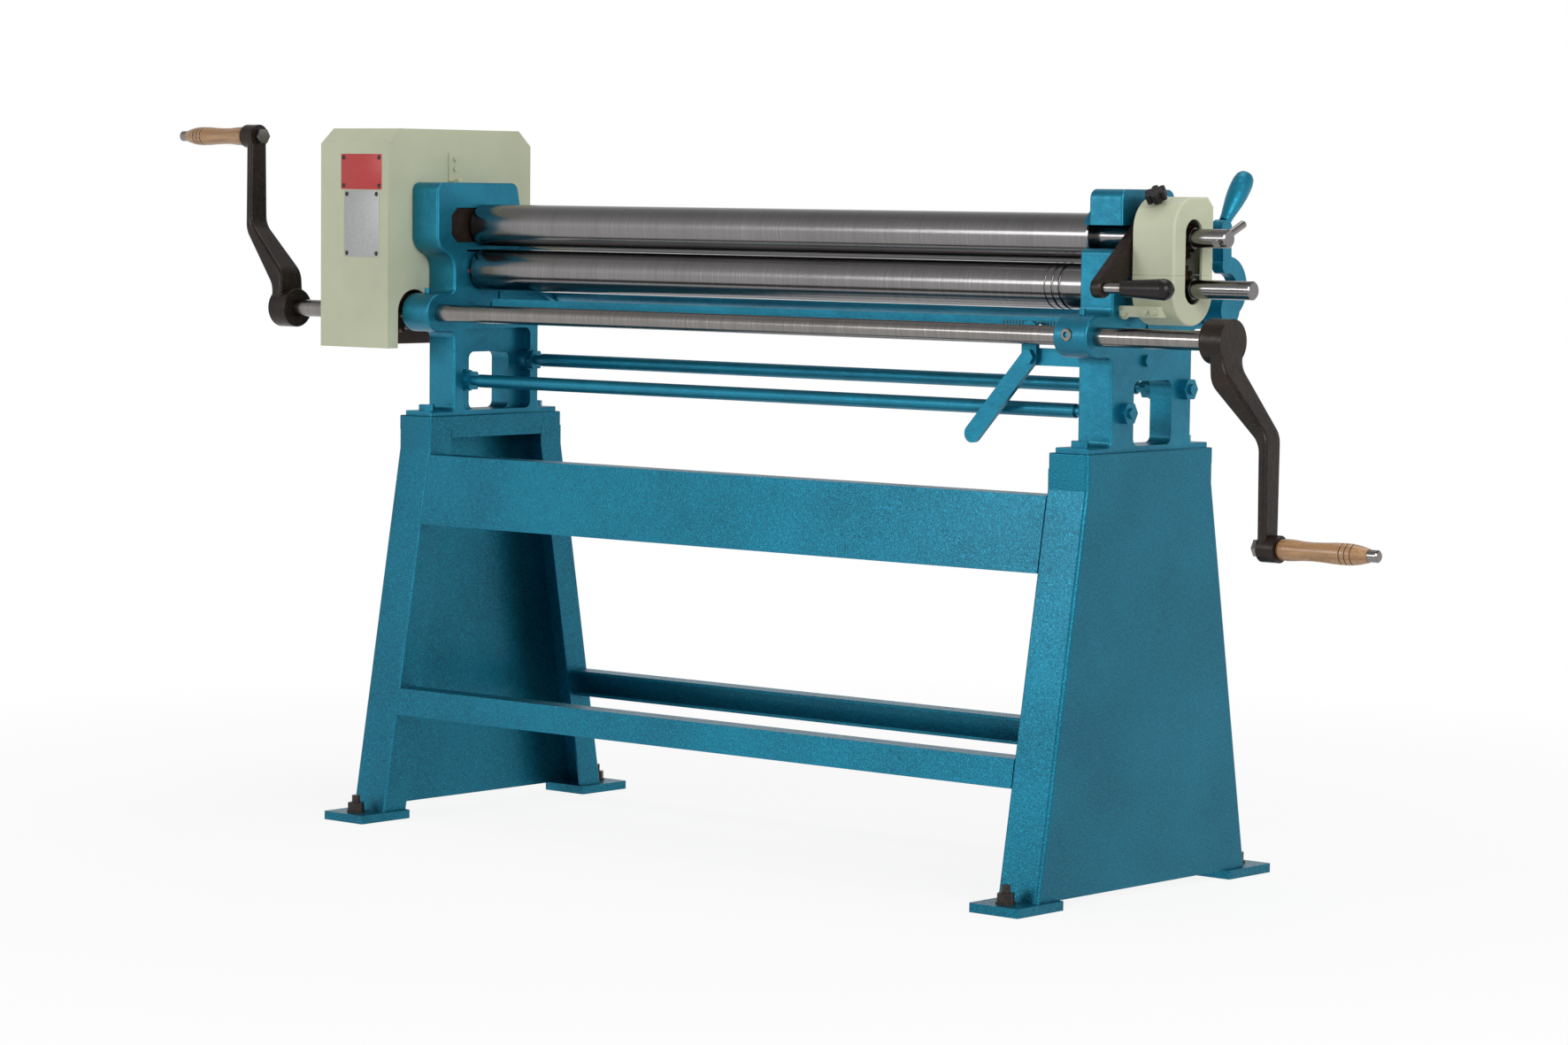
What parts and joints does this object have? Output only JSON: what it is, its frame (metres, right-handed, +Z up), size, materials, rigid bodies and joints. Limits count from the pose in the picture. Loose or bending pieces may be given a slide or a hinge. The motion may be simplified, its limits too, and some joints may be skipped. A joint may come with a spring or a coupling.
{
  "type": "plate rolling machine",
  "caption": "Hand-cranked plate rolling machine: driven rolls and a rear bending roll between cast housings on sheet-steel stands, with gear cover, guard and levers.",
  "frame": {"origin": "on the floor, in the middle of the four floor bolt holes, which is under the middle of the distance between the housings", "axes": "+X along the rolls to the roll ends' right when seen by the operator, +Y away from the operator, +Z up"},
  "size_m": [2.523, 0.64, 1.1564],
  "materials": {
    "blue_enamel": "semi-gloss hammered enamel",
    "cream_enamel": "satin enamel",
    "roll_steel": "turned and ground",
    "shaft_steel": "bright drawn",
    "gear_steel": "oiled",
    "black_casting": "semi-gloss black paint",
    "black_fasteners": "black oxide",
    "black_plastic": "gloss",
    "varnished_wood": "clear varnish"
  },
  "bodies": {
    "frame": {"foot_plates": "blue_enamel", "right_front_leg": "blue_enamel", "right_rear_leg": "blue_enamel", "left_front_leg": "blue_enamel", "left_rear_leg": "blue_enamel", "right_side_panel": "blue_enamel", "left_side_panel": "blue_enamel", "right_stand_cap": "blue_enamel", "left_stand_cap": "blue_enamel", "front_beam": "blue_enamel", "front_rail": "blue_enamel", "rear_rail": "blue_enamel", "right_housing": "blue_enamel", "left_housing": "blue_enamel", "front_tie_rod": "blue_enamel", "rear_tie_rod": "blue_enamel", "tie_rod_nuts": "blue_enamel", "housing_bolts": "blue_enamel", "housing_nuts": "blue_enamel", "stop_bolt": "blue_enamel", "lever_bracket": "blue_enamel", "pivot_bolt": "blue_enamel", "gear_cover": "cream_enamel", "lower_guard": "cream_enamel", "guard_bracket": "cream_enamel", "cover_bracket": "cream_enamel", "cover_screws": "cream_enamel", "guard_screws": "shaft_steel", "oil_cups": "shaft_steel", "swivel_block": "black_casting", "anchor_studs": "black_fasteners", "anchor_washers": "black_fasteners", "anchor_nuts": "black_fasteners"},
    "crank_drive": {"crank_shaft": "shaft_steel", "left_crank": "black_casting", "right_crank": "black_casting", "crank_pinion": "gear_steel", "left_grip_spindle": "shaft_steel", "right_grip_spindle": "shaft_steel"},
    "left_hand_grip": {"left_grip": "varnished_wood"},
    "right_hand_grip": {"right_grip": "varnished_wood"},
    "top_roll_set": {"top_roll": "roll_steel", "drive_gear": "gear_steel", "top_pair_gear": "gear_steel", "top_shaft_pin": "shaft_steel"},
    "lower_carriage": {"lower_bearing_blocks": "blue_enamel"},
    "lower_roll_set": {"lower_roll": "roll_steel", "lower_pair_gear": "gear_steel"},
    "wedge_slide": {"wedge_bar": "blue_enamel"},
    "pinch_control": {"pinch_lever": "blue_enamel"},
    "rear_carriage": {"swing_shaft": "shaft_steel", "swing_arms": "blue_enamel", "rear_lever": "blue_enamel", "rear_handle": "blue_enamel"},
    "rear_roll_set": {"rear_roll": "roll_steel"},
    "lock_lever": {"lock_arm": "black_casting", "lock_rod": "shaft_steel", "lock_grip": "black_plastic"},
    "guard_lid": {"upper_guard": "cream_enamel"},
    "guard_lid_knob": {"guard_knob": "black_plastic"}
  },
  "joints": [
    {"name": "crank_turn", "type": "hinge", "parent": "frame", "child": "crank_drive", "pos_m": [0, -0.128, 0.84243], "axis": [1, 0, 0], "continuous": true},
    {"name": "left_grip_turn", "type": "hinge", "parent": "crank_drive", "child": "left_hand_grip", "pos_m": [-1.2, -0.128, 1.13643], "axis": [1, 0, 0], "continuous": true},
    {"name": "right_grip_turn", "type": "hinge", "parent": "crank_drive", "child": "right_hand_grip", "pos_m": [1.1, -0.128, 0.54843], "axis": [1, 0, 0], "continuous": true},
    {"name": "top_roll_turn", "type": "hinge", "parent": "frame", "child": "top_roll_set", "pos_m": [0, -0.027, 0.989], "axis": [1, 0, 0], "continuous": true},
    {"name": "pinch_lever_swing", "type": "hinge", "parent": "frame", "child": "pinch_control", "pos_m": [0.566, -0.09, 0.808], "axis": [0, -1, 0], "range_deg": [0, 30]},
    {"name": "wedge_bar_slide", "type": "slide", "parent": "frame", "child": "wedge_slide", "axis": [-1, 0, 0], "range_m": [0, 0.02095]},
    {"name": "lower_block_lift", "type": "slide", "parent": "frame", "child": "lower_carriage", "axis": [0, 0, 1], "range_m": [0, 0.00398]},
    {"name": "lower_roll_turn", "type": "hinge", "parent": "lower_carriage", "child": "lower_roll_set", "pos_m": [0, -0.027, 0.914], "axis": [1, 0, 0], "continuous": true},
    {"name": "rear_lever_swing", "type": "hinge", "parent": "frame", "child": "rear_carriage", "pos_m": [0, 0.145, 0.88], "axis": [-1, 0, 0], "range_deg": [-10, 25]},
    {"name": "rear_roll_turn", "type": "hinge", "parent": "rear_carriage", "child": "rear_roll_set", "pos_m": [0, 0.054, 0.922], "axis": [1, 0, 0], "continuous": true},
    {"name": "lock_lever_swing", "type": "hinge", "parent": "frame", "child": "lock_lever", "pos_m": [0.73, -0.027, 0.989], "axis": [-1, 0, 0], "range_deg": [0, 75]},
    {"name": "guard_lift", "type": "slide", "parent": "frame", "child": "guard_lid", "axis": [0, 0, 1], "range_m": [0, 0.12]},
    {"name": "guard_knob_turn", "type": "hinge", "parent": "guard_lid", "child": "guard_lid_knob", "pos_m": [0.772, -0.05539, 1.04055], "axis": [0, -0.5736, 0.8192], "continuous": true}
  ],
  "couplings": [
    {"joint": "top_roll_turn", "follows": "crank_turn", "ratio": -0.21918},
    {"joint": "lower_roll_turn", "follows": "crank_turn", "ratio": 0.21918},
    {"joint": "wedge_bar_slide", "follows": "lower_block_lift", "ratio": 5.2632},
    {"joint": "pinch_lever_swing", "follows": "lower_block_lift", "rad_per_m": 131.58}
  ]
}
